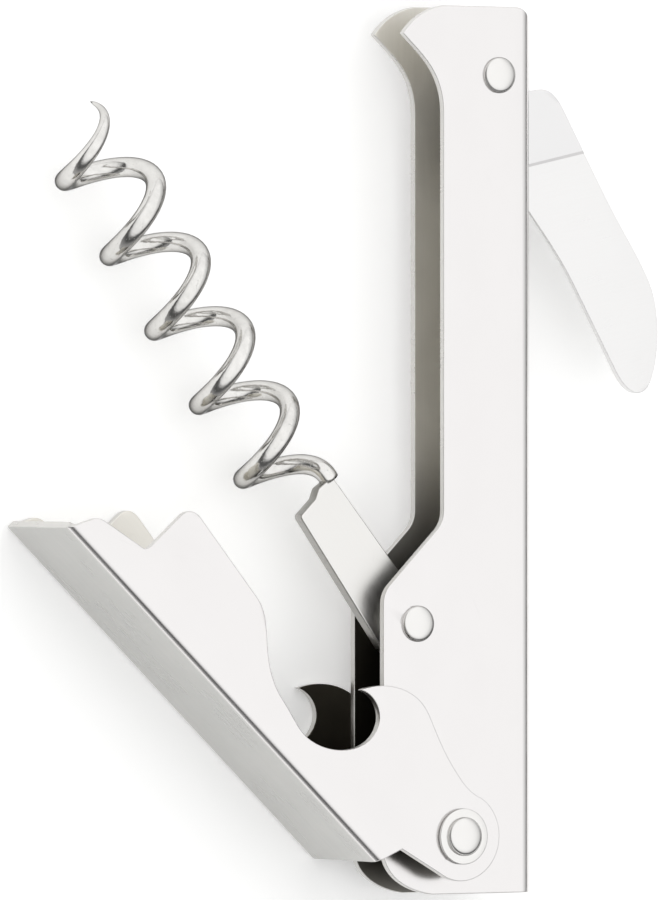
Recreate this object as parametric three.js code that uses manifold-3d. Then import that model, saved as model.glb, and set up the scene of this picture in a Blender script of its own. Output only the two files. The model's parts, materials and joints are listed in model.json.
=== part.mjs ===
// A waiter's corkscrew of folded steel sheet, lying on its broad side.
// Millimetres. +X is the back of the handle, +Y its long axis towards the knife end,
// +Z the broad side. The design origin is the worm pin on the middle plane; the group
// is then moved so that the row's origin is the bottom centre of the whole object.
import * as THREE from 'three';
import { mergeVertices } from 'three/addons/utils/BufferGeometryUtils.js';
import Module from 'manifold-3d';

const wasm = await Module();
wasm.setup();

// ---- driving dimensions -------------------------------------------------
const rad = THREE.MathUtils.degToRad;
const GAP = 0.1;                    // between flat faces that would touch
const RUN = 0.2;                    // round a pin, in radius

const HANDLE = {
  half: 4.05, wall: 1.0, bend: 2.0,           // half width, sheet, outside bend
  back: 18.0, frontLow: -5.2, frontHigh: 4.0, // X of the spine and of the two fronts
  bottom: -35.0, top: 79.9,
  slotHalf: 1.3, slotFoot: 22.0,              // slot in the spine for the knife
};
const LEVER = {
  half: 8.25, wall: 1.1, bend: 1.3,
  spine: -11.1,                               // outer face of the spine, from the pivot
  foot: 70.3, heel: 6.4,                      // the two ends of the spine
  ear: 5.8,                                   // radius of the ears round the pivot
  pivot: [4.1, -27.4], lean: 46.8,            // degrees left of the handle at rest
};
const WORM = {
  axis: -2.9, radius: 5.0, wire: 1.3,          // centre line beside the pin, coil, wire
  start: 22.0, pitch: 11.6, turns: 5.1, ease: 0.25,
  drift: 0.015,                               // coil set aside, for each mm along it
  taper: 0.65, tipScale: 0.2, tipCurl: 0.3,     // turns of taper, end size, curl inwards
  tail: 0.45, tailEnd: 14.0,                  // necked tail inside the holder
  lean: 36.0,                                 // degrees left of the handle at rest
};
const HOLDER = { half: 0.9, round: 4.7, edge: -4.7, end: 21.8, bore: 0.65, boreEnd: 13.6 };
const KNIFE = {
  half: 0.6, pivot: [12.5, 71.0], lean: 30.0, // degrees out of the handle's back at rest
  tang: 4.4, length: 47.8, edge: 0.12,
  grindTop: -13.2, grindTurn: -17.5,          // the ground faces start here, at a slant
};
const RIVET = { shaft: 1.5, head: 2.35, dome: 0.75 };
const LEVER_RIVET = { shaft: 1.8, head: 2.5, dome: 0.8, sink: 2.6, sinkDepth: 0.8 };
const WASHER = { radius: 3.6 };
const HEAD_WASHER = { radius: 3.6, thick: 0.5 };
const COLLAR = { radius: 3.4 };

const ROUND = 30;                   // sides of a round piece
const ARC = 6;                      // steps of a short curve
const DOME = 4;                     // steps of a rivet's dome

// ---- materials ----------------------------------------------------------
const steel = (color, roughness) =>
  new THREE.MeshStandardMaterial({ color, roughness, metalness: 1.0 });
const polished = () => steel(0xd9d8d6, 0.18);
const brushed = () => steel(0xc9c7c4, 0.3);
const wireSteel = () => steel(0xbfbdb8, 0.22);
const pinSteel = () => steel(0xd2d0cc, 0.25);

// ---- solids -------------------------------------------------------------
function toSolid(geometry) {
  const bare = geometry.clone();
  bare.deleteAttribute('normal');
  bare.deleteAttribute('uv');
  const merged = mergeVertices(bare, 1e-4);
  return new wasm.Manifold(new wasm.Mesh({
    numProp: 3,
    vertProperties: new Float32Array(merged.attributes.position.array),
    triVerts: new Uint32Array(merged.index.array),
  }));
}

function toGeometry(solid) {
  const mesh = solid.getMesh();
  const geometry = new THREE.BufferGeometry();
  geometry.setAttribute('position', new THREE.BufferAttribute(mesh.vertProperties, 3));
  geometry.setIndex(new THREE.BufferAttribute(mesh.triVerts, 1));
  geometry.computeVertexNormals();
  return geometry;
}

// A flat outline given thickness from z0 to z1.
function plate(shape, z0, z1) {
  const geometry = new THREE.ExtrudeGeometry(shape, {
    depth: z1 - z0, bevelEnabled: false, curveSegments: ARC,
  });
  return toSolid(geometry.translate(0, 0, z0));
}

// A solid of revolution about a Z axis through (x, y); profile is [radius, z] pairs,
// from the bottom outwards and up.
function turned(profile, x = 0, y = 0) {
  const points = profile.map(([r, z]) => new THREE.Vector2(r, z));
  const geometry = new THREE.LatheGeometry(points, ROUND).rotateX(Math.PI / 2);
  return toSolid(geometry.translate(x, y, 0));
}

function box(x0, x1, y0, y1, z0, z1) {
  const geometry = new THREE.BoxGeometry(x1 - x0, y1 - y0, z1 - z0);
  return toSolid(geometry.translate((x0 + x1) / 2, (y0 + y1) / 2, (z0 + z1) / 2));
}

// A ring from z0 to z1 round (x, y).
function ring(inner, outer, z0, z1, [x, y]) {
  return turned([[inner, z0], [outer, z0], [outer, z1], [inner, z1], [inner, z0]], x, y);
}

// A round hole cutter through everything.
function drill(radius, [x, y], depth = 30) {
  return turned([[0, -depth], [radius, -depth], [radius, depth], [0, depth]], x, y);
}

// A folded channel: a U section with rounded bends, its back on x = back and its open
// side towards x = front, swept along Y from y0 to y1.
function foldedChannel({ half, wall, bend }, back, front, y0, y1) {
  const side = Math.sign(back - front);
  const middle = back - side * bend;              // X of the bends' centres
  const arc = (z, radius, from, to, clockwise) => {
    const turn = (angle) => (side > 0 ? angle : Math.PI - angle);
    return [middle, z, radius, turn(from), turn(to), side > 0 ? clockwise : !clockwise];
  };
  const inner = bend - wall;
  const s = new THREE.Shape();
  s.moveTo(front, -half);
  s.lineTo(middle, -half);
  s.absarc(...arc(bend - half, bend, -Math.PI / 2, 0, false));
  s.lineTo(back, half - bend);
  s.absarc(...arc(half - bend, bend, 0, Math.PI / 2, false));
  s.lineTo(front, half);
  s.lineTo(front, half - wall);
  s.lineTo(middle, half - wall);
  s.absarc(...arc(half - bend, inner, Math.PI / 2, 0, true));
  s.lineTo(back - side * wall, bend - half);
  s.absarc(...arc(bend - half, inner, 0, -Math.PI / 2, true));
  s.lineTo(front, wall - half);
  s.closePath();
  const geometry = new THREE.ExtrudeGeometry(s, {
    depth: y1 - y0, bevelEnabled: false, curveSegments: ARC,
  });
  return toSolid(geometry.rotateX(-Math.PI / 2).translate(0, y0, 0));
}

// ---- handle -------------------------------------------------------------
// Side outline of both walls: a wide lower half, a slant, a narrow upper half and a beak.
function handleOutline() {
  const { back, frontLow, frontHigh, bottom, top } = HANDLE;
  const s = new THREE.Shape();
  s.moveTo(back, bottom);
  s.lineTo(back, top - 3);
  s.absarc(back - 3, top - 3, 3, 0, Math.PI / 2, false);
  s.lineTo(frontHigh, top);
  s.quadraticCurveTo(0.2, 79.3, -2.2, 76.2);
  s.bezierCurveTo(0.4, 73.6, frontHigh, 71.5, frontHigh, 66.0);
  s.lineTo(frontHigh, 14.6);
  s.quadraticCurveTo(frontHigh, 13.1, 2.9, 12.0);
  s.lineTo(-4.3, 4.9);
  s.quadraticCurveTo(frontLow, 3.9, frontLow, 2.4);
  s.lineTo(frontLow, -29.0);
  s.bezierCurveTo(frontLow, -32.2, -2.2, -34.4, 2.2, bottom);
  s.closePath();
  return s;
}

function handleChannel() {
  const { half, back, bottom, top, slotHalf, slotFoot } = HANDLE;
  let solid = foldedChannel(HANDLE, back, -12, bottom - 5, top + 5);
  solid = solid.intersect(plate(handleOutline(), -half - 1, half + 1));
  solid = solid.subtract(box(back - 3, back + 3, slotFoot, top + 5, -slotHalf, slotHalf));
  for (const [pivot, shaft] of [
    [[0, 0], RIVET.shaft], [KNIFE.pivot, RIVET.shaft], [LEVER.pivot, LEVER_RIVET.shaft],
  ]) solid = solid.subtract(drill(shaft + RUN, pivot));
  return toGeometry(solid);
}

// ---- lever --------------------------------------------------------------
// Side outline of the lever's walls in its own frame: the pivot at (0, 0), the spine
// on the left, the foot with its notch and tooth at the top, the cap hook between.
function leverOutline() {
  const { spine, foot, heel, ear } = LEVER;
  const s = new THREE.Shape();
  s.moveTo(spine, heel + 0.8);
  s.lineTo(spine, foot);
  s.lineTo(-7.8, 68.4);
  s.quadraticCurveTo(-7.0, 67.9, -6.8, 66.6);       // lip of the foot
  s.lineTo(-5.6, 60.9);
  s.quadraticCurveTo(-5.5, 59.9, -4.5, 59.8);       // notch under the tooth
  s.lineTo(1.4, 59.2);
  s.quadraticCurveTo(3.2, 58.9, 3.1, 57.0);         // tooth
  s.lineTo(1.4, 43.6);
  s.bezierCurveTo(0.8, 39.5, -4.6, 38.2, -5.6, 31.4);
  s.bezierCurveTo(-6.1, 28.6, -6.8, 27.6, -6.4, 25.4);
  s.bezierCurveTo(-5.7, 21.6, -1.6, 17.4, 2.0, 19.2);
  s.bezierCurveTo(3.6, 20.0, 4.4, 22.2, 3.4, 24.2); // tip of the cap hook
  s.bezierCurveTo(6.4, 22.6, 9.6, 18.6, 8.1, 14.4);
  s.bezierCurveTo(6.8, 11.0, 5.9, 9.0, 5.3, 5.0);
  s.quadraticCurveTo(5.0, 2.6, ear * Math.cos(rad(12)), ear * Math.sin(rad(12)));
  s.absarc(0, 0, ear, rad(12), rad(-172), true);
  s.lineTo(-7.3, heel - 0.8);
  s.closePath();
  return s;
}

function leverChannel() {
  const { half, spine, foot } = LEVER;
  const { shaft, sink, sinkDepth } = LEVER_RIVET;
  const bore = shaft + RUN;
  let solid = foldedChannel(LEVER, spine, 14, -12, foot + 1);
  solid = solid.intersect(plate(leverOutline(), -half - 1, half + 1));
  solid = solid.subtract(drill(bore, [0, 0]));
  solid = solid.subtract(turned([
    [0, -half - 1], [sink + RUN, -half - 1], [sink + RUN, -half],
    [bore, sinkDepth + GAP - half], [0, sinkDepth + GAP - half],
  ]));
  return toGeometry(solid);
}

// ---- worm ---------------------------------------------------------------
// The wire's centre line, in the worm's frame: the pin at (0, 0), the axis along +Y.
class WormLine extends THREE.Curve {
  getPoint(u, target = new THREE.Vector3()) {
    const { axis, radius, start, pitch, turns, ease, drift, taper, tipCurl } = WORM;
    const t = u * turns;
    const turn = t < ease ? (t * t) / (2 * ease) : t - ease / 2;
    const curl = Math.max(0, (t - turns + taper) / taper);
    const r = radius * (1 - tipCurl * curl * curl);
    const angle = -2 * Math.PI * turn;
    const rise = pitch * t;
    return target.set(axis + drift * rise + r * Math.cos(angle), start + rise, r * Math.sin(angle));
  }
}

// Draws the wire's last stretch down to a point: each ring of vertices shrinks
// towards its own place on the centre line.
function sharpen(geometry, centres, from, endScale) {
  const position = geometry.attributes.position;
  const v = new THREE.Vector3();
  for (let i = 0; i < position.count; i += 1) {
    v.fromBufferAttribute(position, i);
    let best = 0;
    centres.forEach((c, k) => {
      if (c.distanceToSquared(v) < centres[best].distanceToSquared(v)) best = k;
    });
    const along = Math.max(0, (best / (centres.length - 1) - from) / (1 - from));
    v.sub(centres[best]).multiplyScalar(1 - (1 - endScale) * along * along)
      .add(centres[best]);
    position.setXYZ(i, v.x, v.y, v.z);
  }
  return geometry;
}

function circleShape(radius, sides) {
  const s = new THREE.Shape();
  for (let i = 0; i < sides; i += 1) {
    const a = (2 * Math.PI * i) / sides;
    s[i ? 'lineTo' : 'moveTo'](radius * Math.cos(a), radius * Math.sin(a));
  }
  s.closePath();
  return s;
}

function wormWire() {
  const { axis, radius, wire, start, turns, taper, tipScale, tail, tailEnd } = WORM;
  const line = new WormLine();
  const steps = Math.round(turns * 15);
  const tube = new THREE.ExtrudeGeometry(circleShape(wire, 10), {
    steps, extrudePath: line, bevelEnabled: false,
  });
  sharpen(tube, line.getSpacedPoints(steps), 1 - taper / turns, tipScale);
  const stem = new THREE.CylinderGeometry(tail, tail, start + 0.6 - tailEnd, 12);
  stem.translate(axis + radius, (start + 0.6 + tailEnd) / 2, 0);
  return toGeometry(toSolid(tube).add(toSolid(stem)));
}

function wormHolder() {
  const { half, round, edge, end, bore, boreEnd } = HOLDER;
  const { axis, radius } = WORM;
  const s = new THREE.Shape();
  s.moveTo(edge, 0);
  s.absarc(0, 0, round, Math.PI, 2 * Math.PI, false);
  s.lineTo(3.3, 6.5);
  s.lineTo(2.3, end);
  s.lineTo(-0.3, end);
  s.lineTo(-1.5, end - 0.8);
  s.lineTo(edge + 0.4, end - 1.2);
  s.quadraticCurveTo(edge, end - 1.3, edge, end - 1.9);
  s.closePath();
  let solid = plate(s, -half, half).subtract(drill(RIVET.shaft + RUN, [0, 0]));
  const hole = new THREE.CylinderGeometry(bore, bore, end + 2 - boreEnd, 16);
  hole.translate(axis + radius, (end + 2 + boreEnd) / 2, 0);
  solid = solid.subtract(toSolid(hole));
  return toGeometry(solid);
}

// ---- knife --------------------------------------------------------------
// Blade outline in its own frame: the pivot at (0, 0), the point towards -Y,
// the back of the blade on +X.
function knifeOutline() {
  const { tang, length } = KNIFE;
  const s = new THREE.Shape();
  s.moveTo(tang * Math.cos(rad(-5)), tang * Math.sin(rad(-5)));
  s.absarc(0, 0, tang, rad(-5), rad(205), false);
  s.lineTo(-3.0, -14.5);
  s.bezierCurveTo(-2.7, -20.5, -1.4, -24.0, -1.4, -31.0);
  s.lineTo(-1.4, -43.6);
  s.bezierCurveTo(-1.3, -46.6, -0.3, -length, 1.2, -length);
  s.bezierCurveTo(3.2, -length, 8.6, -41.4, 9.0, -35.6);
  s.bezierCurveTo(9.2, -31.0, 8.5, -28.0, 8.5, -21.0);
  s.lineTo(8.5, -9.6);
  s.quadraticCurveTo(8.4, -6.4, 6.6, -5.7);
  s.lineTo(4.7, -4.9);
  s.closePath();
  return s;
}

// What the grinding takes off one face: a wedge that starts at a slanted line across
// the blade and gets deeper towards the cutting edge. face is +1 or -1.
function grind(face) {
  const { half, edge, length, grindTop, grindTurn } = KNIFE;
  const s = new THREE.Shape();
  s.moveTo(10.5, half * face);
  s.lineTo(-4.5, edge * face);
  s.lineTo(-4.5, 2 * half * face);
  s.lineTo(10.5, 2 * half * face);
  s.closePath();
  const wedge = new THREE.ExtrudeGeometry(s, { depth: length, bevelEnabled: false });
  wedge.rotateX(Math.PI / 2).rotateZ(rad(grindTurn));
  return toSolid(wedge.translate(0, grindTop, 0));
}

function knifeBlade() {
  let solid = plate(knifeOutline(), -KNIFE.half, KNIFE.half);
  solid = solid.subtract(grind(1)).subtract(grind(-1));
  return toGeometry(solid.subtract(drill(RIVET.shaft + RUN, [0, 0])));
}

// ---- pins, washers and collars -------------------------------------------
// A rivet with a low dome at each end of its shaft.
function domedRivet(shaft, head, dome, z0, z1) {
  const profile = [[0, z0 - dome]];
  for (let i = 1; i <= DOME; i += 1) {
    const a = (Math.PI / 2) * (i / DOME);
    profile.push([head * Math.sin(a), z0 - dome * Math.cos(a)]);
  }
  profile.push([shaft, z0], [shaft, z1]);
  for (let i = DOME; i >= 1; i -= 1) {
    const a = (Math.PI / 2) * (i / DOME);
    profile.push([head * Math.sin(a), z1 + dome * Math.cos(a)]);
  }
  profile.push([0, z1 + dome]);
  return profile;
}

function handleRivet() {
  const { shaft, head, dome } = RIVET;
  const z = HANDLE.half + GAP;
  return toGeometry(turned(domedRivet(shaft, head, dome, -z, z)));
}

// The lever's rivet: a dome over its washer on the upper side, flush on the lower side.
function leverRivet() {
  const { shaft, head, dome, sink, sinkDepth } = LEVER_RIVET;
  const top = LEVER.half + HEAD_WASHER.thick + 2 * GAP;
  const low = -LEVER.half + 0.05;
  const profile = domedRivet(shaft, head, dome, 0, top).slice(DOME + 2);
  return toGeometry(turned([
    [0, low], [sink, low], [shaft, low + sinkDepth], ...profile,
  ]));
}

// ---- assembly -----------------------------------------------------------
const model = new THREE.Group();

function add(parent, name, geometry, material, at = [0, 0], turn = 0) {
  const mesh = new THREE.Mesh(geometry, material);
  mesh.name = name;
  mesh.position.set(at[0], at[1], 0);
  mesh.rotation.z = rad(turn);
  parent.add(mesh);
}

add(model, 'handle_channel', handleChannel(), polished());
add(model, 'lever_channel', leverChannel(), polished(), LEVER.pivot, LEVER.lean);
add(model, 'worm_holder', wormHolder(), brushed(), [0, 0], WORM.lean);
add(model, 'worm', wormWire(), wireSteel(), [0, 0], WORM.lean);
add(model, 'knife_blade', knifeBlade(), polished(), KNIFE.pivot, KNIFE.lean);
add(model, 'worm_rivet', handleRivet(), pinSteel(), [0, 0]);
add(model, 'knife_rivet', handleRivet(), pinSteel(), KNIFE.pivot);
add(model, 'lever_rivet', leverRivet(), pinSteel(), LEVER.pivot);

const inside = HANDLE.half - HANDLE.wall - GAP;
const between = [HANDLE.half + GAP, LEVER.half - LEVER.wall - GAP];
const pinBore = RIVET.shaft + RUN;
const leverBore = LEVER_RIVET.shaft + RUN;
for (const [side, name] of [[1, 'upper'], [-1, 'lower']]) {
  const span = (z0, z1) => (side > 0 ? [z0, z1] : [-z1, -z0]);
  add(model, `worm_washer_${name}`, toGeometry(
    ring(pinBore, WASHER.radius, ...span(HOLDER.half + GAP, inside), [0, 0])), brushed());
  add(model, `knife_washer_${name}`, toGeometry(
    ring(pinBore, WASHER.radius, ...span(KNIFE.half + GAP, inside), [0, 0])),
  brushed(), KNIFE.pivot);
  add(model, `lever_collar_${name}`, toGeometry(
    ring(leverBore, COLLAR.radius, ...span(...between), [0, 0])), brushed(), LEVER.pivot);
}
add(model, 'lever_sleeve', toGeometry(
  ring(leverBore, COLLAR.radius, -inside, inside, [0, 0])), brushed(), LEVER.pivot);
add(model, 'lever_rivet_washer', toGeometry(ring(leverBore, HEAD_WASHER.radius,
  LEVER.half + GAP, LEVER.half + GAP + HEAD_WASHER.thick, [0, 0])), brushed(), LEVER.pivot);

// The row's origin is the bottom centre of the whole object.
model.updateMatrixWorld(true);
const bounds = new THREE.Box3().setFromObject(model, true);
const centre = bounds.getCenter(new THREE.Vector3());
model.position.set(-centre.x, -centre.y, -bounds.min.z);

const corkscrew = new THREE.Group();
corkscrew.add(model);
export default corkscrew;
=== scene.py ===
# %% [markdown]
# A waiter's corkscrew, finished in Blender.
#
# The tool is three folded or cut pieces of steel sheet, a coil of wire and a handful of
# pins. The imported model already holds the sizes, the pivots and the motion, so this
# lesson only rebuilds each piece as a maker would: cut a blank, fold it, round its edges
# and polish it. Every piece is drawn on the bench in millimetres round its own pin, and
# is then carried to its place in metres.

# %% Load the frame
import json
import math

import bmesh
import bpy
from mathutils import Matrix, Vector
from mathutils.geometry import interpolate_bezier


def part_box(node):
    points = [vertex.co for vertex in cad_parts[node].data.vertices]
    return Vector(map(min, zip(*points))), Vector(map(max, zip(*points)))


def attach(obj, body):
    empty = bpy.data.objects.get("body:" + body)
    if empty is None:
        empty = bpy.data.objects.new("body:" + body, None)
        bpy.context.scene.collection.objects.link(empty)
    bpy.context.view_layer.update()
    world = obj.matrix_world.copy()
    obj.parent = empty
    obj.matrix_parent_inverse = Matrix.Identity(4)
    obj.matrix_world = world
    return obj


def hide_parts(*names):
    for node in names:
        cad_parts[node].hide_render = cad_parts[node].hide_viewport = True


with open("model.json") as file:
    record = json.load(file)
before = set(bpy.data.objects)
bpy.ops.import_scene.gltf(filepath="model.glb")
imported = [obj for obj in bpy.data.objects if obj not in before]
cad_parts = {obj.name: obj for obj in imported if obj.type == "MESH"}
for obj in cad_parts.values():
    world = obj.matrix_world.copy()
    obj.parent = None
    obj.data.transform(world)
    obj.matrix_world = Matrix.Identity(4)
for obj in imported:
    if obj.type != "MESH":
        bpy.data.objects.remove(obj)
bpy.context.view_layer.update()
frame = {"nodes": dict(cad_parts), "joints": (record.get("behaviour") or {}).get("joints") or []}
print("nodes in the frame:", len(frame["nodes"]))

# %% [markdown]
# The driving sizes come from the frame. Each joint says where its pin stands, and the box
# of a node says how wide and how long that piece is. A length read this way stays right
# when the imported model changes, which a copied number does not.

# %% Pins and widths
MM = 0.001
NEAR = 1e-4                       # two places on the bench closer than this are one

PIN = {j["child"]: Vector(j["pos_m"]) for j in frame["joints"]}
MIDDLE = PIN["worm"].z            # height of the plane that halves the tool
LEAN = {"handle": 0.0, "lever": 46.8, "worm": 36.0, "knife": 30.0}


def half_width(node):
    """Half of a node's width across the tool, in millimetres."""
    low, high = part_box(node)
    return (high.z - low.z) / 2 / MM


def from_worm_pin(corner):
    """A corner of a node's box as the bench of the handle sees it."""
    return (corner - PIN["worm"]) / MM


HANDLE_HALF = half_width("handle_channel")
LEVER_HALF = half_width("lever_channel")
HOLDER_HALF = half_width("worm_holder")
BLADE_HALF = half_width("knife_blade")
handle_low, handle_high = (from_worm_pin(c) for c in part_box("handle_channel"))
print("half widths in mm:", round(HANDLE_HALF, 2), round(LEVER_HALF, 2),
      round(HOLDER_HALF, 2), round(BLADE_HALF, 2))

# %% [markdown]
# The camera comes first, because everything later is judged through it. It looks down on
# the lying tool from its front side with a long lens, so that the sheet's edges stay
# parallel, and the handle's axis points straight up in the view.

# %% Camera
VIEW_TILT = math.radians(32.0)    # off square to the tool's broad side
VIEW_DISTANCE = 1.5
LENS = 465.7
VIEW_CENTRE = Vector((-0.00316, -0.00003, MIDDLE))

scene = bpy.context.scene
scene.view_settings.view_transform = "Standard"
look = Vector((math.sin(VIEW_TILT), 0, -math.cos(VIEW_TILT)))
right = Vector((math.cos(VIEW_TILT), 0, math.sin(VIEW_TILT)))
up = Vector((0, 1, 0))
camera_data = bpy.data.cameras.new("studio_camera")
camera_data.lens = LENS
camera_data.sensor_width = 36.0
camera = bpy.data.objects.new("studio_camera", camera_data)
camera.matrix_world = Matrix.Translation(VIEW_CENTRE - look * VIEW_DISTANCE) @ Matrix(
    (right, up, -look)).transposed().to_4x4()
scene.collection.objects.link(camera)
scene.camera = camera
print("camera stands at", [round(c, 3) for c in camera.matrix_world.translation])

# %% [markdown]
# Shader maths reads best as arithmetic. This small class wraps one socket, and an
# expression such as 1 - mask * 0.5 adds the Math nodes for it. A finish holds the nodes of
# one material, or of the sky, and has one method that adds any other node.

# %% Shader sockets as values


class Field:
    """One output socket of a finish, which can be added, subtracted and multiplied."""

    def __init__(self, finish, socket):
        self.finish = finish
        self.socket = socket

    def _maths(self, operation, first, second):
        """Adds one Math node that works on two values."""
        return self.finish.node("ShaderNodeMath", {"operation": operation},
                                {0: first, 1: second})

    def __add__(self, other):
        return self._maths("ADD", self, other)

    __radd__ = __add__

    def __sub__(self, other):
        return self._maths("SUBTRACT", self, other)

    def __rsub__(self, other):
        return self._maths("SUBTRACT", other, self)

    def __mul__(self, other):
        return self._maths("MULTIPLY", self, other)

    __rmul__ = __mul__


class Finish:
    """The nodes of a material or of the sky, and one method that adds any node."""

    def __init__(self, owner):
        owner.use_nodes = True
        self.owner = owner
        self.tree = owner.node_tree
        self.tree.nodes.clear()

    def node(self, kind, settings=None, inputs=None, output=0):
        """Adds a node, sets it up, feeds its sockets, and returns one output."""
        made = self.tree.nodes.new(kind)
        for key, value in (settings or {}).items():
            if key == "stops":
                ramp = made.color_ramp
                while len(ramp.elements) < len(value):
                    ramp.elements.new(0.5)
                for element, (place, shade) in zip(ramp.elements, value):
                    element.position = place
                    element.color = (shade, shade, shade, 1.0)
            else:
                setattr(made, key, value)
        for key, value in (inputs or {}).items():
            if isinstance(value, Field):
                self.tree.links.new(value.socket, made.inputs[key])
            else:
                made.inputs[key].default_value = value
        return Field(self, made.outputs[output]) if made.outputs else None


print("shader helpers ready")

# %% [markdown]
# Steel sheet carries a straight grain, a few stray scratches and a broad, soft unevenness
# from the polishing wheel. All three are noise at different stretches: the grain is noise
# pulled long in one direction, a scratch is the same noise cut down to its rare peaks, and
# the unevenness is noise left round. They read Object coordinates, which are metres, so
# the scale of each is a real length.

# %% Grain, scratches and unevenness
NOISE_DETAIL = 2.0
NOISE_ROUGHNESS = 0.55
CLOUD = (9.0, 6.0)                # length and width of the soft unevenness, in millimetres
LONG_SCRATCH = (9.0, 0.12)
SHORT_SCRATCH = (6.0, 0.10)
RARE = (0.70, 0.80)               # the noise that shows as a scratch, and where it is full
RARER = (0.71, 0.80)
GRAIN_DEPTH = 0.03                # how deep the bump takes the grain to be
MIX_SHARE, MIX_FIRST, MIX_SECOND = 0, 6, 7  # sockets of a Mix node set to colour
MIX_RESULT = 2
# Painted shade: a near-black colour mixed into the inner faces round the two lower pins.
INSIDE_SHADE_COLOUR = (0.05, 0.045, 0.035, 1.0)
INSIDE_SHADE_REACH = (17.0, 35.0)          # painted shade full up to the first distance, gone from the second


def stretched_noise(finish, turn, streak):
    """Noise in streaks of a length and width in mm, turned by an angle in degrees."""
    length, width = streak[0] * MM, streak[1] * MM
    coordinates = finish.node("ShaderNodeTexCoord", output="Object")
    laid = finish.node("ShaderNodeMapping", {"vector_type": "TEXTURE"}, {
        "Vector": coordinates,
        "Rotation": (0.0, 0.0, math.radians(turn)),
        "Scale": (width, length, width),
    })
    return finish.node("ShaderNodeTexNoise", None, {
        "Vector": laid, "Scale": 1.0, "Detail": NOISE_DETAIL,
        "Roughness": NOISE_ROUGHNESS,
    }, "Fac")


def peaks(finish, value, low, high):
    """Only the part of a value above low, rising to 1 at high."""
    return finish.node("ShaderNodeMapRange", None, {
        "Value": value, "From Min": low, "From Max": high,
    }, "Result")


def scratches(finish, turn):
    """Rare thin lines in two directions close to the grain."""
    first = peaks(finish, stretched_noise(finish, turn + 24, LONG_SCRATCH), *RARE)
    second = peaks(finish, stretched_noise(finish, turn - 37, SHORT_SCRATCH), *RARER)
    return first + second


def mixed(finish, share, first, second):
    """A colour between two others."""
    return finish.node("ShaderNodeMix", {"data_type": "RGBA", "clamp_factor": True}, {
        MIX_SHARE: share, MIX_FIRST: first, MIX_SECOND: second,
    }, MIX_RESULT)


def tone(finish, mask, dark, light):
    """A colour between two tones of steel."""
    return mixed(finish, mask, (*dark, 1.0), (*light, 1.0))


def with_inside_shade(finish, colour):
    """Paints shade into a colour round the two lower pins, where the deep channels are dark
    inside.
    """
    place = finish.node("ShaderNodeTexCoord", output="Object")
    away = finish.node("ShaderNodeVectorMath", {"operation": "DISTANCE"},
                       {0: place, 1: (PIN["worm"] + PIN["lever"]) / 2}, "Value")
    unshaded = peaks(finish, away, INSIDE_SHADE_REACH[0] * MM, INSIDE_SHADE_REACH[1] * MM)
    return mixed(finish, unshaded, INSIDE_SHADE_COLOUR, colour)


def steel(name, turn, dark, light, rough, spread, grain, relief, edge=1.0, inside_shade=False):
    """A metal finish with streaks of a length and width in mm, and a tint at its edges."""
    finish = Finish(bpy.data.materials.new(name))
    streaks = stretched_noise(finish, turn, grain)
    cloud = stretched_noise(finish, turn, CLOUD)
    marks = scratches(finish, turn)
    colour = tone(finish, 0.6 * cloud + 0.4 * streaks - 0.4 * marks, dark, light)
    # painted shade on the inner faces round the two lower pins
    if inside_shade:
        colour = with_inside_shade(finish, colour)
    roughness = rough + spread * (streaks + cloud - 1.0) + 0.5 * spread * marks
    bump = finish.node("ShaderNodeBump", None, {
        "Strength": relief, "Distance": GRAIN_DEPTH * MM, "Height": streaks - marks,
    }, "Normal")
    shader = finish.node("ShaderNodeBsdfPrincipled", None, {
        "Base Color": colour, "Metallic": 1.0, "Roughness": roughness, "Normal": bump,
        "Specular Tint": (edge, edge, edge, 1.0),
    })
    finish.node("ShaderNodeOutputMaterial", None, {"Surface": shader})
    return finish.owner


print("steel finishes can be mixed")

# %% [markdown]
# The finishes differ in what made the surface. The outside of the sheet is polished along
# its length. The inside keeps the browner skin of the rolling mill, because no wheel
# reaches it, and it carries painted shade between the two lower pins, where the channels
# are deep. A sheared rim is duller and its grain runs through the sheet. The lever's spine
# is brushed, and its darker colour is painted shade. The blade is ground across, with a
# darker line at the shoulder of the grind. The worm is bright drawn wire, with dark mottle
# in its colour as painted reflection.

# %% Finishes of the sheet, wire and blade
ALONG = (14.0, 0.35)              # length and width of the streaks of the polished grain
BRUSHED = (22.0, 0.5)
GROUND = (5.0, 0.22)
THROUGH = (0.3, 1.6)
# the wire's mottle: a bump, and dark patches in its colour that are painted reflection
MOTTLE_AND_PAINTED_REFLECTION = (1.1, 1.0)
GROUND_ACROSS = LEAN["knife"] + 72.0  # the grinding marks run across the blade


def sheet_finishes(piece):
    """Outside, inside and rim of a folded piece, with the grain along that piece."""
    turn = LEAN[piece]
    return [
        steel(f"{piece}_polished", turn, (0.70, 0.685, 0.68), (0.765, 0.75, 0.745),
              0.20, 0.10, ALONG, 0.10),
        # the inner faces: browner mill skin, with painted shade round the two lower pins
        steel(f"{piece}_mill_skin_and_painted_shade", turn, (0.72, 0.70, 0.65), (0.88, 0.86, 0.81),
              0.50, 0.12, ALONG, 0.16, inside_shade=True),
        steel(f"{piece}_sheared_rim", turn, (0.58, 0.57, 0.55), (0.72, 0.71, 0.69),
              0.30, 0.16, THROUGH, 0.20),
    ]


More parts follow.
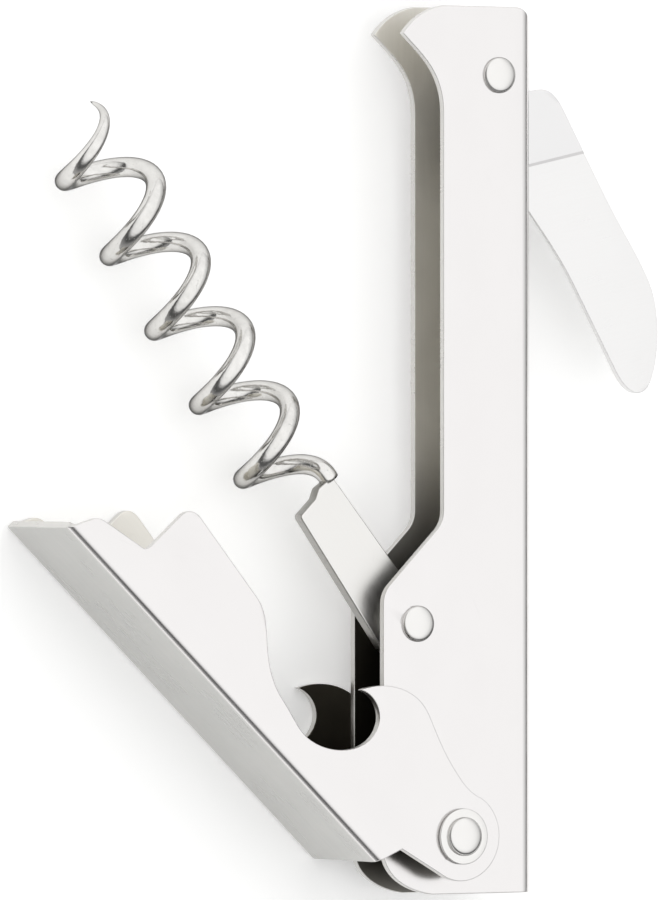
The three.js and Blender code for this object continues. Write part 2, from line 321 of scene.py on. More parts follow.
handle_steel = sheet_finishes("handle")
lever_steel = sheet_finishes("lever")
# painted shade: the spine's colour is darker for the grey that it reflects; its roughness and
# long grain are the brushing
lever_steel.append(steel("lever_brushed_spine_painted_shade", LEAN["lever"], (0.46, 0.46, 0.445),
                         (0.66, 0.655, 0.635), 0.30, 0.14, BRUSHED, 0.25))
holder_steel = [
    steel("holder_polished", LEAN["worm"], (0.72, 0.71, 0.69), (0.80, 0.79, 0.77),
          0.38, 0.12, ALONG, 0.12),
    steel("holder_sheared_rim", LEAN["worm"], (0.34, 0.335, 0.32), (0.52, 0.51, 0.49),
          0.30, 0.16, THROUGH, 0.20),
]
# painted reflection: the wire's colour is mottled dark and light, as reflections mottle a bright
# wire
wire_steel = [steel("drawn_wire_with_painted_reflection", LEAN["worm"], (0.50, 0.49, 0.47), (0.88, 0.87, 0.85),
                    0.12, 0.12, MOTTLE_AND_PAINTED_REFLECTION, 0.90, edge=0.15)]
blade_steel = [
    steel("blade_flat", LEAN["knife"], (0.69, 0.685, 0.685), (0.74, 0.735, 0.735),
          0.22, 0.08, ALONG, 0.08),
    steel("blade_ground", GROUND_ACROSS, (0.72, 0.715, 0.71), (0.79, 0.785, 0.78),
          0.30, 0.10, GROUND, 0.14),
    steel("blade_shoulder", GROUND_ACROSS, (0.50, 0.49, 0.49), (0.63, 0.62, 0.62),
          0.34, 0.12, GROUND, 0.20),
]
print("sheet finishes:", len(handle_steel) + len(lever_steel))

# %% [markdown]
# A turned face is different: its streaks are rings. The distance from the pin's centre
# takes the place of a straight coordinate, and a noise of one dimension along it gives
# rings of uneven width.

# %% Finish of turned pieces
TURNED_EDGE = 0.25                # how much light a turned piece returns at a grazing angle
RING_WIDTH = 0.18
RING_DEPTH = 0.02
RING_RELIEF = 0.25
TURNED_CLOUD = (1.6, 1.2)
TURNED_SPREAD = 0.16              # how far the roughness of a turned piece varies


def turned_steel(name, centre, dark, light, rough):
    """A metal finish with rings round an upright axis through centre."""
    finish = Finish(bpy.data.materials.new(name))
    coordinates = finish.node("ShaderNodeTexCoord", output="Object")
    about_pin = finish.node("ShaderNodeMapping", {"vector_type": "TEXTURE"}, {
        "Vector": coordinates, "Location": (centre.x, centre.y, 0.0),
    })
    flat = finish.node("ShaderNodeVectorMath", {"operation": "MULTIPLY"},
                       {0: about_pin, 1: (1.0, 1.0, 0.0)})
    radius = finish.node("ShaderNodeVectorMath", {"operation": "LENGTH"},
                         {0: flat}, "Value")
    rings = finish.node("ShaderNodeTexNoise", {"noise_dimensions": "1D"}, {
        "W": radius * (1.0 / (RING_WIDTH * MM)), "Scale": 1.0,
        "Detail": NOISE_DETAIL,
    }, "Fac")
    cloud = stretched_noise(finish, 0.0, TURNED_CLOUD)
    colour = tone(finish, 0.5 * rings + 0.5 * cloud, dark, light)
    bump = finish.node("ShaderNodeBump", None, {
        "Strength": RING_RELIEF, "Distance": RING_DEPTH * MM, "Height": rings,
    }, "Normal")
    shader = finish.node("ShaderNodeBsdfPrincipled", None, {
        "Base Color": colour, "Metallic": 1.0,
        "Roughness": rough + TURNED_SPREAD * (rings + cloud - 1.0), "Normal": bump,
        "Specular Tint": (TURNED_EDGE, TURNED_EDGE, TURNED_EDGE, 1.0),
    })
    finish.node("ShaderNodeOutputMaterial", None, {"Surface": shader})
    return finish.owner


def pin_finish(name, centre):
    """Bright turned steel, for the rivets and the washer that shows."""
    return [turned_steel(name, centre, (0.70, 0.69, 0.675), (0.79, 0.78, 0.765), 0.2)]


def spacer_finish(name, centre):
    """Dull turned steel, for the spacers inside."""
    return [turned_steel(name, centre, (0.48, 0.47, 0.45), (0.66, 0.65, 0.62), 0.36)]


print("turned finishes ready")

# %% [markdown]
# Outlines are drawn the way a maker scribes a blank: straight to here, a curve to there,
# an arc round a hole. The pen keeps the points, and a loop of edges through them is all
# that is drawn one by one. The rest of each shape comes from operators.

# %% A pen for outlines
CURVE_STEPS = 14
ARC_STEP = 6.0                    # degrees
HOLE_SIDES = 48


class Pen:
    """Scribes one closed outline on the bench."""

    def __init__(self, x, y):
        self.points = [Vector((x, y, 0.0))]

    def line(self, *places):
        """Straight to each place in turn."""
        self.points += [Vector((x, y, 0.0)) for x, y in places]
        return self

    def curve(self, first, second, end):
        """A cubic curve with two handles."""
        first, second, end = (Vector((*p, 0.0)) for p in (first, second, end))
        start = self.points[-1]
        self.points += interpolate_bezier(start, first, second, end, CURVE_STEPS)[1:]
        return self

    def bow(self, handle, end):
        """A curve with one handle."""
        start, handle, finish = self.points[-1].xy, Vector(handle), Vector(end)
        return self.curve(start.lerp(handle, 2 / 3), finish.lerp(handle, 2 / 3), end)

    def arc(self, centre, radius, start, end):
        """Part of a circle, from one angle to another in degrees."""
        steps = max(2, round(abs(end - start) / ARC_STEP))
        for step in range(steps + 1):
            angle = math.radians(start + (end - start) * step / steps)
            place = Vector(centre) + radius * Vector((math.cos(angle), math.sin(angle)))
            self.points.append(Vector((*place, 0.0)))
        return self


def blank(points, height, holes):
    """A flat blank with round holes, as one skin of faces at a height on the bench."""
    bm = bmesh.new()
    verts = [bm.verts.new(p + Vector((0, 0, height))) for p in points]
    for first, second in zip(verts, verts[1:] + verts[:1]):
        bm.edges.new((first, second))
    for x, y, radius in holes:
        bmesh.ops.create_circle(bm, cap_ends=False, segments=HOLE_SIDES, radius=radius,
                                matrix=Matrix.Translation((x, y, height)))
    bmesh.ops.remove_doubles(bm, verts=bm.verts[:], dist=NEAR)
    bmesh.ops.triangle_fill(bm, use_beauty=True, use_dissolve=False, normal=(0, 0, 1),
                            edges=bm.edges[:])
    return bm


print("pen ready, one curve has", CURVE_STEPS - 1, "steps")

# %% [markdown]
# Every piece ends the same way. It is turned to its angle, carried to its pin and scaled
# from millimetres to metres. Its object stays at the origin with its place in the mesh.
# A Bevel modifier breaks the sharp edges, as a file and a tumbler do, and a Weighted
# Normal modifier keeps the broad faces flat in the light while the bevels stay smooth.

# %% Finish a piece
BEVEL_STEPS = 3


def place_piece(bm, name, body, pin, lean, finishes, nodes):
    """Carries a bench piece to its place, and lets it ride and stand for CAD nodes."""
    bmesh.ops.transform(bm, verts=bm.verts[:], matrix=(
        Matrix.Translation(pin) @ Matrix.Rotation(math.radians(lean), 4, "Z")
        @ Matrix.Scale(MM, 4)))
    mesh = bpy.data.meshes.new(name)
    bm.to_mesh(mesh)
    bm.free()
    mesh.shade_smooth()
    for material in finishes:
        mesh.materials.append(material)
    piece = bpy.data.objects.new(name, mesh)
    scene.collection.objects.link(piece)
    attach(piece, body)
    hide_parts(*nodes)
    return piece


def thicken(piece, thickness):
    """Gives a folded skin its sheet thickness, inwards."""
    solid = piece.modifiers.new("sheet", "SOLIDIFY")
    solid.thickness = thickness * MM
    solid.offset = -1.0
    solid.use_even_offset = True
    solid.use_quality_normals = True
    solid.material_offset = 1
    solid.material_offset_rim = 2


def break_edges(piece, width, sharper_than=40.0):
    """Rounds every edge sharper than an angle, then keeps the broad faces flat."""
    bevel = piece.modifiers.new("broken_edges", "BEVEL")
    bevel.width = width * MM
    bevel.segments = BEVEL_STEPS
    bevel.limit_method = "ANGLE"
    bevel.angle_limit = math.radians(sharper_than)
    bevel.use_clamp_overlap = False
    bevel.loop_slide = False
    shade = piece.modifiers.new("flat_faces", "WEIGHTED_NORMAL")
    shade.keep_sharp = True
    box = measured(piece)
    print(piece.name, "faces:", box[0], "size in mm:", box[1])


def measured(piece):
    """Face count and size of a piece with its modifiers."""
    shown = piece.evaluated_get(bpy.context.evaluated_depsgraph_get())
    mesh = shown.to_mesh()
    places = [v.co for v in mesh.vertices]
    size = [round((max(p[i] for p in places) - min(p[i] for p in places)) / MM, 2)
            for i in range(3)]
    count = len(mesh.polygons)
    shown.to_mesh_clear()
    return count, size


print("edge and thickness helpers ready")

# %% [markdown]
# A folded channel starts as one wall: a flat blank on the upper side, with a straight edge
# where the bend begins. Spin rolls that edge a quarter turn round the bend, an extrusion
# runs it on across the spine to the middle, and a mirror gives the other half, so both
# walls match as they do when a press folds them together. The skin gets its thickness
# last.

# %% Fold a channel
BEND_STEPS = 8


def edges_at(bm, test):
    """Edges whose two ends both pass a test."""
    return [e for e in bm.edges if all(test(v.co) for v in e.verts)]


def run_on(bm, edges, height):
    """Extrudes edges and carries the new ones to a height."""
    made = bmesh.ops.extrude_edge_only(bm, edges=edges)["geom"]
    for vert in (g for g in made if isinstance(g, bmesh.types.BMVert)):
        vert.co.z = height
    return [g for g in made if isinstance(g, bmesh.types.BMEdge)
            and all(abs(v.co.z - height) < NEAR for v in g.verts)]


def roll_back_edge(bm, bend_x, bend, half, towards):
    """Spins the wall's back edge a quarter turn; towards is +1 or -1 along X."""
    back_edge = edges_at(bm, lambda co: abs(co.x - bend_x) < NEAR)
    rolled = bmesh.ops.spin(
        bm, geom=back_edge + list({v for e in back_edge for v in e.verts}),
        cent=(bend_x, 0.0, half - bend), axis=(0.0, float(towards), 0.0),
        angle=math.pi / 2, steps=BEND_STEPS, use_merge=False, use_duplicate=False)
    return [g for g in rolled["geom_last"] if isinstance(g, bmesh.types.BMEdge)]


def close_fold(bm):
    """Mirrors the half channel across the middle and turns its faces outwards."""
    bmesh.ops.mirror(bm, geom=bm.verts[:] + bm.edges[:] + bm.faces[:],
                     matrix=Matrix.Identity(4), merge_dist=NEAR, axis="Z")
    bmesh.ops.remove_doubles(bm, verts=bm.verts[:], dist=NEAR)
    bmesh.ops.recalc_face_normals(bm, faces=bm.faces[:])


print("a bend is rolled in", BEND_STEPS, "steps")

# %% [markdown]
# The handle is the longest fold: a wide lower half that the lever and worm hang from, a
# slanted step, a narrow upper half, and a beak at the top. Its spine has a slot from the
# knife's pin down, so that the blade can swing out of the back. The top corner at the
# back is rounded, so the rolled part of that end follows the same arc.

# %% Handle
HANDLE_WALL = 1.0
HANDLE_BEND = 2.0                 # outside radius
HANDLE_CORNER = 3.0
SLOT_HALF = 1.3
SLOT_FOOT = 22.0
FRONT_LOW = -5.2
FRONT_HIGH = 4.0
PIN_HOLE = 1.7
LEVER_PIN_HOLE = 2.0

BACK, TOP, BOTTOM = handle_high.x, handle_high.y, handle_low.y
HANDLE_BEND_X = BACK - HANDLE_BEND
CORNER_X = BACK - HANDLE_CORNER
CORNER_Y = TOP - HANDLE_CORNER


def corner_height(x):
    """Where the rounded top corner ends, at a distance along X."""
    return CORNER_Y + math.sqrt(max(0.0, HANDLE_CORNER ** 2 - (x - CORNER_X) ** 2))


bend_angle = math.degrees(math.acos((HANDLE_BEND_X - CORNER_X) / HANDLE_CORNER))
handle_outline = Pen(HANDLE_BEND_X, BOTTOM)
handle_outline.line((HANDLE_BEND_X, SLOT_FOOT))
handle_outline.arc((CORNER_X, CORNER_Y), HANDLE_CORNER, bend_angle, 90)
handle_outline.line((FRONT_HIGH, TOP))
handle_outline.bow((0.2, TOP - 0.6), (-2.2, TOP - 3.7))
handle_outline.curve((0.4, 73.6), (FRONT_HIGH, 71.5), (FRONT_HIGH, 66.0))
handle_outline.line((FRONT_HIGH, 14.6))
handle_outline.bow((FRONT_HIGH, 13.1), (2.9, 12.0))
handle_outline.line((-4.3, 4.9))
handle_outline.bow((FRONT_LOW, 3.9), (FRONT_LOW, 2.4))
handle_outline.line((FRONT_LOW, -29.0))
handle_outline.curve((FRONT_LOW, -32.2), (-2.2, -34.4), (2.2, BOTTOM))

holes = []
for body, radius in (("worm", PIN_HOLE), ("knife", PIN_HOLE), ("lever", LEVER_PIN_HOLE)):
    pin = from_worm_pin(PIN[body])
    holes.append((pin.x, pin.y, radius))
bm = blank(handle_outline.points, HANDLE_HALF, holes)
rolled = roll_back_edge(bm, HANDLE_BEND_X, HANDLE_BEND, HANDLE_HALF, 1)
at_slot = run_on(bm, rolled, SLOT_HALF)
below_slot = [e for e in at_slot if all(v.co.y < SLOT_FOOT + NEAR for v in e.verts)]
run_on(bm, below_slot, 0.0)
for vert in bm.verts:
    if vert.co.x > HANDLE_BEND_X - NEAR and vert.co.y > CORNER_Y:
        vert.co.y = corner_height(vert.co.x)
close_fold(bm)
handle = place_piece(bm, "handle_sheet", "handle", PIN["worm"], LEAN["handle"],
                     handle_steel, ["handle_channel"])
thicken(handle, HANDLE_WALL)
break_edges(handle, width=0.16)

# %% [markdown]
# The lever is the same fold, wider, so that it straddles the handle. Its walls carry the
# working edges: the foot with its lip and tooth that stand on the bottle, the hook that
# lifts a crown cap, and the ears round the pin. Both ends of its spine are cut at a slant,
# so the rolled part of each end follows that slant.

# %% Lever
LEVER_WALL = 1.1
LEVER_BEND = 1.3
SPINE = -11.1                     # outer face of the spine, left of the pin
LEVER_BEND_X = SPINE + LEVER_BEND
EAR = 5.8
EAR_FROM, EAR_TO = 12, -172       # degrees of the arc that the ear makes round the pin
FOOT, FOOT_SLANT = 70.3, -1.9 / 3.3
HEEL, HEEL_SLANT = 7.2, -1.6 / 3.8


def foot_end(x):
    """Where the cut at the foot of the spine is, at a distance along X."""
    return FOOT + FOOT_SLANT * (x - SPINE)


def heel_end(x):
    """Where the cut at the other end of the spine is, by the pin."""
    return HEEL + HEEL_SLANT * (x - SPINE)


lever_outline = Pen(LEVER_BEND_X, heel_end(LEVER_BEND_X))
lever_outline.line((LEVER_BEND_X, foot_end(LEVER_BEND_X)), (-7.8, foot_end(-7.8)))
lever_outline.bow((-7.0, 67.9), (-6.8, 66.6))
lever_outline.line((-5.6, 60.9))
lever_outline.bow((-5.5, 59.9), (-4.5, 59.8))
lever_outline.line((1.4, 59.2))
lever_outline.bow((3.2, 58.9), (3.1, 57.0))
lever_outline.line((1.4, 43.6))
lever_outline.curve((0.8, 39.5), (-4.6, 38.2), (-5.6, 31.4))
lever_outline.curve((-6.1, 28.6), (-6.8, 27.6), (-6.4, 25.4))
lever_outline.curve((-5.7, 21.6), (-1.6, 17.4), (2.0, 19.2))
lever_outline.curve((3.6, 20.0), (4.4, 22.2), (3.4, 24.2))
lever_outline.curve((6.4, 22.6), (9.6, 18.6), (8.1, 14.4))
lever_outline.curve((6.8, 11.0), (5.9, 9.0), (5.3, 5.0))
ear_start = (EAR * math.cos(math.radians(EAR_FROM)),
             EAR * math.sin(math.radians(EAR_FROM)))
lever_outline.bow((5.0, 2.6), ear_start)
lever_outline.arc((0, 0), EAR, EAR_FROM, EAR_TO)
lever_outline.line((-7.3, heel_end(-7.3)))

bm = blank(lever_outline.points, LEVER_HALF, [(0, 0, LEVER_PIN_HOLE)])
run_on(bm, roll_back_edge(bm, LEVER_BEND_X, LEVER_BEND, LEVER_HALF, -1), 0.0)
for vert in bm.verts:
    if vert.co.x < LEVER_BEND_X + NEAR:
        end = foot_end if vert.co.y > FOOT / 2 else heel_end
        vert.co.y = end(vert.co.x)
close_fold(bm)
lever = place_piece(bm, "lever_sheet", "lever", PIN["lever"], LEAN["lever"],
                    lever_steel, ["lever_channel"])
thicken(lever, LEVER_WALL)
print("lever folded")

# %% [markdown]
# The lower end of the lever's pin is sunk flush, so that the tool lies flat. A Solidify
# modifier can't cut a cone, so the lever's sheet is made solid first, and the outer rim
# of that one hole is then scaled up round the pin. The outer face of the spine, which is
# brushed rather than polished, is given its own finish in the same step. That finish is
# rougher, and its darker colour is painted shade for the grey that the spine reflects.

# %% Countersink the lever and give its brushed spine painted shade
SINK = 2.8                        # radius of the cone at the outer face
SPINE_SHADED_FINISH = 3                  # place of the spine's finish, with its painted shade, on the lever


def made_solid(piece):
    """The piece's mesh with its modifiers applied, as a bmesh; they are removed."""
    shown = piece.evaluated_get(bpy.context.evaluated_depsgraph_get())
    bm = bmesh.new()
    bm.from_mesh(shown.to_mesh())
    shown.to_mesh_clear()
    piece.modifiers.clear()
    return bm


bm = made_solid(lever)
lever_foot_z = PIN["lever"].z - LEVER_HALF * MM
rim = [v for v in bm.verts if abs(v.co.z - lever_foot_z) < NEAR * MM
       and (v.co - PIN["lever"]).xy.length < (LEVER_PIN_HOLE + NEAR) * MM]
bmesh.ops.scale(bm, verts=rim, vec=(SINK / LEVER_PIN_HOLE, SINK / LEVER_PIN_HOLE, 1.0),
                space=Matrix.Translation(-PIN["lever"]))
outwards = Matrix.Rotation(math.radians(LEAN["lever"]), 3, "Z") @ Vector((-1, 0, 0))
inside_sheet = (-SPINE - LEVER_WALL / 2) * MM  # only the outer face is further out
# the outer spine faces take the finish with painted shade
spine = [f for f in bm.faces if f.normal.dot(outwards) > 0.95
         and (f.calc_center_median() - PIN["lever"]).dot(outwards) > inside_sheet]
for face in spine:
    face.material_index = SPINE_SHADED_FINISH
bm.to_mesh(lever.data)
bm.free()
print("countersunk points:", len(rim), "faces of the spine:", len(spine))
break_edges(lever, width=0.16)

# %% [markdown]
# The holder and the blade are flat plates. Each is half a plate first: the upper skin,
# with its rim run down to the middle plane. The mirror that closes the folds closes them
# too, so both faces are alike.

# %% Holder of the worm
WORM_AXIS = -2.9                  # centre line of the coil, beside the pin
HOLDER_ROUND = 4.7
HOLDER_EDGE = -4.7
HOLDER_END = 21.8


def close_plate(bm):
    """Runs the rim of an upper skin down to the middle and mirrors the lower half."""
    run_on(bm, [e for e in bm.edges if e.is_boundary], 0.0)
    close_fold(bm)


holder_outline = Pen(HOLDER_EDGE, 0).arc((0, 0), HOLDER_ROUND, 186, 360)
holder_outline.line((3.3, 6.5), (2.3, HOLDER_END), (-0.3, HOLDER_END))
holder_outline.line((-1.5, HOLDER_END - 0.8), (HOLDER_EDGE + 0.4, HOLDER_END - 1.2))
holder_outline.bow((HOLDER_EDGE, HOLDER_END - 1.3), (HOLDER_EDGE, HOLDER_END - 1.9))
bm = blank(holder_outline.points, HOLDER_HALF, [(0, 0, PIN_HOLE)])
close_plate(bm)
for face in bm.faces:
    upright = abs(face.normal.z) < 0.5
    face.material_index = int(upright)
holder = place_piece(bm, "holder_plate", "worm", PIN["worm"], LEAN["worm"],
                     holder_steel, ["worm_holder"])
break_edges(holder, width=0.2)

# %% [markdown]
# The worm is wire wound into an open coil and drawn down to a point. A ring is extruded
# step by step, and each new ring is carried by the matrix that leads from one place on
# the centre line to the next. A plain Screw would wind the coil as well, but it could not
# let the wire rise straight out of the holder first, nor taper and curl its last turn.

# %% Worm
COIL_RADIUS = 5.0
WIRE = 1.3                        # radius
COIL_START = 22.0
PITCH = 11.6
TURNS = 5.1
DRIFT = 0.015                     # the coil stands aside this much for each mm of rise
EASE = 0.25                       # turns over which the wire leaves the straight
TAPER = 0.65                      # turns of the drawn point
POINT_SCALE = 0.2
POINT_CURL = 0.3
POINT_REACH = 3                   # length of the closing point, in radii of the wire there
WIRE_SIDES = 24
RINGS_PER_TURN = 44
ROOT = 0.5                        # how far the wire reaches down into the holder


def coil_place(turned):
    """Where the wire's centre is after some turns, and how thick the wire is there."""
    angle = turned ** 2 / (2 * EASE) if turned < EASE else turned - EASE / 2
    last = max(0.0, (turned - TURNS + TAPER) / TAPER)
    radius = COIL_RADIUS * (1 - POINT_CURL * last ** 2)
    outwards = Vector((math.cos(2 * math.pi * angle), 0, -math.sin(2 * math.pi * angle)))
    rise = PITCH * turned
    place = Vector((WORM_AXIS + DRIFT * rise, COIL_START + rise, 0)) + radius * outwards
    return place, outwards, 1 - (1 - POINT_SCALE) * last ** 2


def ring_matrix(turned):
    """Stands a ring of unit wire square to the centre line."""
    place, outwards, scale = coil_place(turned)
    ahead = coil_place(turned + NEAR)[0] - coil_place(turned - NEAR)[0]
    if turned < NEAR:
        ahead = Vector((0, 1, 0))
    ahead.normalize()
    side = (outwards - ahead * outwards.dot(ahead)).normalized()
    turn = Matrix((side, ahead.cross(side), ahead)).transposed().to_4x4()
    return Matrix.Translation(place) @ turn @ Matrix.Scale(scale, 4)


bm = bmesh.new()
here = Matrix.Translation((0, -ROOT, 0)) @ ring_matrix(0.0)
bmesh.ops.create_circle(bm, cap_ends=True, segments=WIRE_SIDES, radius=WIRE, matrix=here)
edges = bm.edges[:]
rings = round(TURNS * RINGS_PER_TURN)
for step in range(rings + 1):
    there = ring_matrix(TURNS * step / rings)
    made = bmesh.ops.extrude_edge_only(bm, edges=edges)["geom"]
    ring = [g for g in made if isinstance(g, bmesh.types.BMVert)]
    edges = [g for g in made if isinstance(g, bmesh.types.BMEdge)
             and all(v in ring for v in g.verts)]
    bmesh.ops.transform(bm, matrix=there @ here.inverted(), verts=ring)
    here = there
tip = here @ Vector((0, 0, POINT_REACH * WIRE))
bmesh.ops.extrude_edge_only(bm, edges=edges)
tip_ring = [v for v in bm.verts if v.is_boundary]
bmesh.ops.pointmerge(bm, verts=tip_ring, merge_co=tip)
bmesh.ops.recalc_face_normals(bm, faces=bm.faces[:])
worm = place_piece(bm, "worm_coil", "worm", PIN["worm"], LEAN["worm"],
                   wire_steel, ["worm"])
print("worm:", measured(worm))

# %% [markdown]
# The foil blade is ground thin towards its cutting edge. The grinding starts at a slanted
# line across the blade, where it leaves a narrow shoulder. Two cuts with bisect_plane mark
# that shoulder on the skin, and a third marks where the ground face runs out near the back.
# Everything between them is lowered to the ground plane.

# %% Blade
TANG = 4.4
BLADE_LENGTH = 47.8
BLADE_EDGE_HALF = 0.12
GRIND_TOP = Vector((0, -13.2, 0))
GRIND_TURN = math.radians(-17.5)
GRIND_FROM, GRIND_TO = 10.5, -4.5  # across the blade: nothing ground off, and the edge
SHOULDER = 0.4

blade_outline = Pen(TANG * math.cos(math.radians(-5)), TANG * math.sin(math.radians(-5)))
blade_outline.arc((0, 0), TANG, 1, 205)
blade_outline.line((-3.0, -14.5))
blade_outline.curve((-2.7, -20.5), (-1.4, -24.0), (-1.4, -31.0))
blade_outline.line((-1.4, -43.6))
blade_outline.curve((-1.3, -46.6), (-0.3, -BLADE_LENGTH), (1.2, -BLADE_LENGTH))
blade_outline.curve((3.2, -BLADE_LENGTH), (8.6, -41.4), (8.94, -35.6))
blade_outline.curve((9.14, -31.0), (8.5, -28.0), (8.5, -21.0))
blade_outline.line((8.5, -9.6))
blade_outline.bow((8.4, -6.4), (6.6, -5.7))
blade_outline.line((4.7, -4.9))

grind_up = Vector((-math.sin(GRIND_TURN), math.cos(GRIND_TURN), 0))
grind_across = Vector((math.cos(GRIND_TURN), math.sin(GRIND_TURN), 0))
bm = blank(blade_outline.points, BLADE_HALF, [(0, 0, PIN_HOLE)])
for place, square_to in ((GRIND_TOP, grind_up),
                         (GRIND_TOP - SHOULDER * grind_up, grind_up),
                         (GRIND_TOP + GRIND_FROM * grind_across, grind_across)):
    bmesh.ops.bisect_plane(bm, geom=bm.verts[:] + bm.edges[:] + bm.faces[:], dist=NEAR,
                           plane_co=place, plane_no=square_to)
for vert in bm.verts:
    below = (GRIND_TOP - vert.co).dot(grind_up)
    across = (vert.co - GRIND_TOP).dot(grind_across)
    share = min(1.0, max(0.0, below / SHOULDER))
    thin = max(0.0, (GRIND_FROM - across) / (GRIND_FROM - GRIND_TO))
    vert.co.z -= share * thin * (BLADE_HALF - BLADE_EDGE_HALF)
for face in bm.faces:
    below = (GRIND_TOP - face.calc_center_median()).dot(grind_up)
    on_shoulder = 0.0 < below < SHOULDER
    face.material_index = 2 if on_shoulder else int(below > 0.0)
close_plate(bm)
blade = place_piece(bm, "foil_blade", "knife", PIN["knife"], LEAN["knife"],
                    blade_steel, ["knife_blade"])
break_edges(blade, width=0.07, sharper_than=50.0)

# %% [markdown]
# Pins, washers, collars and the sleeve are turned on a lathe, so each is a profile spun
# once round. A rivet's dome is a little fuller than part of an ellipse, which gives its
# rim a steep flank and the dark ring that a riveted head shows from above.

# %% Turned pieces
LATHE_STEPS = 64
DOME_STEPS = 10
DOME_FULLNESS = 0.7


def dome(radius, base, top):
    """Profile of a rivet's head from its rim to its crown."""
    places = []
    for step in range(DOME_STEPS + 1):
        angle = math.pi / 2 * step / DOME_STEPS
        places.append((radius * math.cos(angle) ** DOME_FULLNESS,
                       base + (top - base) * math.sin(angle) ** DOME_FULLNESS))
    places[-1] = (0.0, top)
    return places


def turn_on_lathe(profile, closed):
    """Spins a profile of radius and height once round the bench's upright axis."""
    bm = bmesh.new()
    verts = [bm.verts.new((radius, 0, height)) for radius, height in profile]
    pairs = zip(verts, verts[1:] + verts[:1] if closed else verts[1:])
    edges = [bm.edges.new(pair) for pair in pairs]
    bmesh.ops.spin(bm, geom=verts + edges, cent=(0, 0, 0), axis=(0, 0, 1),
                   angle=2 * math.pi, steps=LATHE_STEPS, use_merge=True,
                   use_duplicate=False)
    bmesh.ops.remove_doubles(bm, verts=bm.verts[:], dist=NEAR)
    bmesh.ops.recalc_face_normals(bm, faces=bm.faces[:])
    return bm


def node_size(node):
    """Radius, lowest and highest place of a round node, on the bench."""
    low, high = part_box(node)
    return (high.y - low.y) / 2 / MM, (low.z - MIDDLE) / MM, (high.z - MIDDLE) / MM


# %% Handle rivets
SHAFT = 1.5
for body in ("worm", "knife"):
    node = f"{body}_rivet"
    radius, lowest, highest = node_size(node)
    profile = [(r, -z) for r, z in reversed(dome(radius, HANDLE_HALF, -lowest))]
    profile += [(SHAFT, -HANDLE_HALF), (SHAFT, HANDLE_HALF)]
    profile += dome(radius, HANDLE_HALF, highest)
    bm = turn_on_lathe(profile, closed=False)
    rivet = place_piece(bm, f"domed_{node}", "handle", PIN[body], 0.0,
                        pin_finish(f"{node}_polished", PIN[body]), [node])
    break_edges(rivet, width=0.05, sharper_than=60.0)

# %% Lever rivet
LEVER_SHAFT = 1.8
LEVER_HEAD = 2.5
SUNK_HEAD, SUNK_DEPTH = 2.6, 0.8
washer_top = node_size("lever_rivet_washer")[2]
_, lowest, highest = node_size("lever_rivet")
profile = [(0.0, lowest), (SUNK_HEAD, lowest), (LEVER_SHAFT, lowest + SUNK_DEPTH),
           (LEVER_SHAFT, washer_top)] + dome(LEVER_HEAD, washer_top, highest)
bm = turn_on_lathe(profile, closed=False)
lever_rivet = place_piece(bm, "domed_lever_rivet", "handle", PIN["lever"], 0.0,
                          pin_finish("lever_rivet_polished", PIN["lever"]),
                          ["lever_rivet"])
break_edges(lever_rivet, width=0.06, sharper_than=60.0)

# %% Washers, collars and sleeve
LOOSE = 0.2
for node in ("lever_rivet_washer", "lever_sleeve", "lever_collar_upper",
             "lever_collar_lower", "worm_washer_upper", "worm_washer_lower",
             "knife_washer_upper", "knife_washer_lower"):
    body = node.split("_")[0]
    bore = (LEVER_SHAFT if body == "lever" else SHAFT) + LOOSE
    radius, lowest, highest = node_size(node)
    bm = turn_on_lathe([(bore, lowest), (radius, lowest), (radius, highest),
                        (bore, highest)], closed=True)
    bright = node == "lever_rivet_washer"
    finish = pin_finish if bright else spacer_finish
    ring_piece = place_piece(bm, f"turned_{node}", "handle", PIN[body], 0.0,
                             finish(f"{node}_turned", PIN[body]),
                             [node])
    break_edges(ring_piece, width=0.12)

# %% [markdown]
# The studio is a plain pale floor under a soft, even sky. Polished steel shows nothing but
# its surroundings, so the sky is white overhead and falls off towards the horizon, which
# draws the soft dark lines along the bends and round the wire. It is dimmer still behind the
# tool, for the soft shade on the far side of the handle.

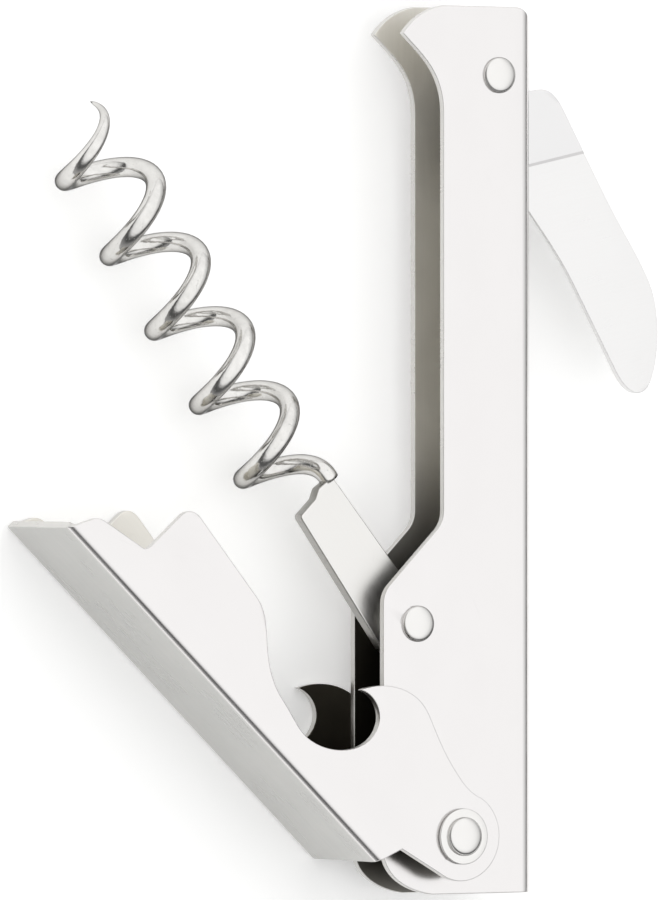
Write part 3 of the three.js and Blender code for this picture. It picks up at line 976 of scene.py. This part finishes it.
# %% Floor
FLOOR_SIZE = 4.0
FLOOR_DROP = 0.0002
FLOOR_GLOW = 0.22                 # keeps the shadows faint, as a light table does
bm = bmesh.new()
bmesh.ops.create_grid(bm, x_segments=1, y_segments=1, size=FLOOR_SIZE / 2,
                      matrix=Matrix.Translation((0, 0, -FLOOR_DROP)))
floor_mesh = bpy.data.meshes.new("studio_floor")
bm.to_mesh(floor_mesh)
bm.free()
floor_finish = Finish(bpy.data.materials.new("pale_floor"))
floor_shader = floor_finish.node("ShaderNodeBsdfPrincipled", None, {
    "Base Color": (0.93, 0.93, 0.925, 1.0), "Roughness": 0.9, "Specular IOR Level": 0.1,
    "Emission Color": (1.0, 1.0, 0.995, 1.0), "Emission Strength": FLOOR_GLOW,
})
floor_finish.node("ShaderNodeOutputMaterial", None, {"Surface": floor_shader})
floor_mesh.materials.append(floor_finish.owner)
floor = bpy.data.objects.new("studio_floor", floor_mesh)
scene.collection.objects.link(floor)
print("floor laid at", -FLOOR_DROP)

# %% Sky
SKY_STRENGTH = 1.25
SKY_UP = (0.10, 0.40, 1.0)        # brightest this way, and dark where it is level with it
SKY_STOPS = [
    (0.0, 0.45), (0.30, 0.30), (0.42, 0.08), (0.50, 0.12), (0.62, 0.85), (0.75, 1.0),
]
SKY_SLOPE, SKY_LEVEL = 0.5, 0.4   # from the height along SKY_UP to a place on the stops
BEHIND = (1.0, 0.0, -0.3)
BEHIND_REACH = (0.35, 0.9)        # how closely a direction has to match to be behind
BEHIND_DIMS = 0.42                # share of the light that is missing there
sky = Finish(bpy.data.worlds.new("studio_sky"))
scene.world = sky.owner
direction = sky.node("ShaderNodeTexCoord", output="Generated")


def along(axis):
    """How far the sky's direction points along an axis."""
    return sky.node("ShaderNodeVectorMath", {"operation": "DOT_PRODUCT"},
                    {0: direction, 1: axis}, "Value")


shade = sky.node("ShaderNodeValToRGB", {"stops": SKY_STOPS},
                 {"Fac": SKY_SLOPE * along(SKY_UP) + SKY_LEVEL}, "Color")
behind = peaks(sky, along(BEHIND), *BEHIND_REACH)
glow = sky.node("ShaderNodeBackground", None, {
    "Color": shade, "Strength": SKY_STRENGTH * (1.0 - BEHIND_DIMS * behind),
})
sky.node("ShaderNodeOutputWorld", None, {"Surface": glow})
print("sky ready")
